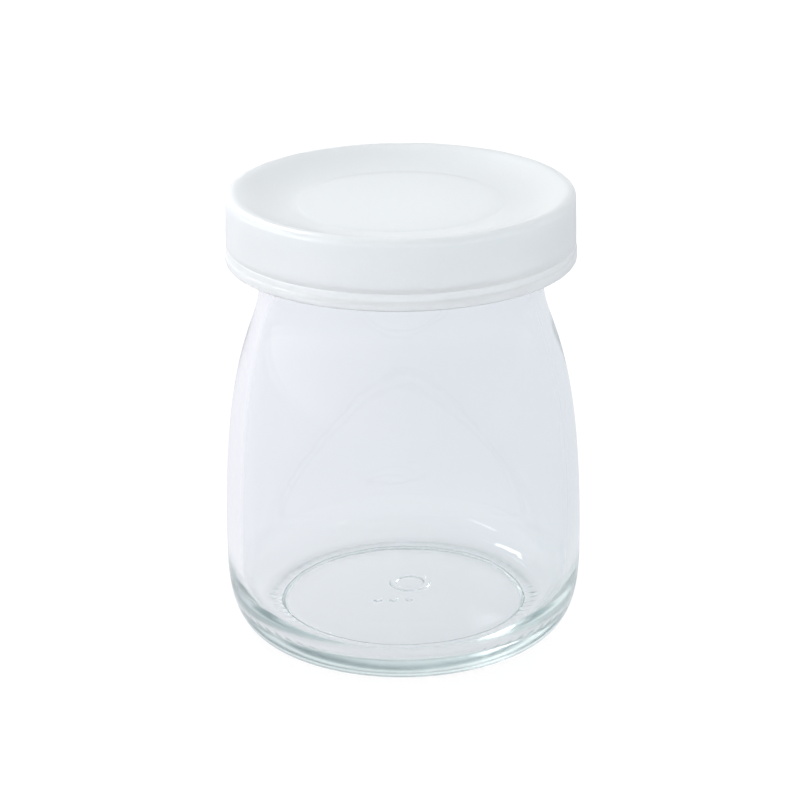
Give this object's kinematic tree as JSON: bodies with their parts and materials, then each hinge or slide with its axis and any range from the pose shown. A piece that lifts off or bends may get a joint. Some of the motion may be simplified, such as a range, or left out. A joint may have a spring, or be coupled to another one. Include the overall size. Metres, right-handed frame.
{
  "type": "glass pudding jar",
  "caption": "Small empty pudding jar of clear glass with a sloping shoulder, rounded heel and notched base ring, closed by a frosted plastic lid.",
  "frame": {"origin": "middle of the bearing ring, on the surface that the jar stands on", "axes": "+Z is the axis of the jar, from its base to its lid"},
  "size_m": [0.059, 0.059, 0.0744],
  "materials": {
    "clear_glass": "clear, smooth, slightly wavy container glass with a faint blue-green tint at its edges",
    "frosted_plastic": "translucent natural white polyethylene with a satin skin"
  },
  "bodies": {
    "root": {"glass_jar": "clear_glass", "lid": "frosted_plastic"}
  },
  "joints": []
}
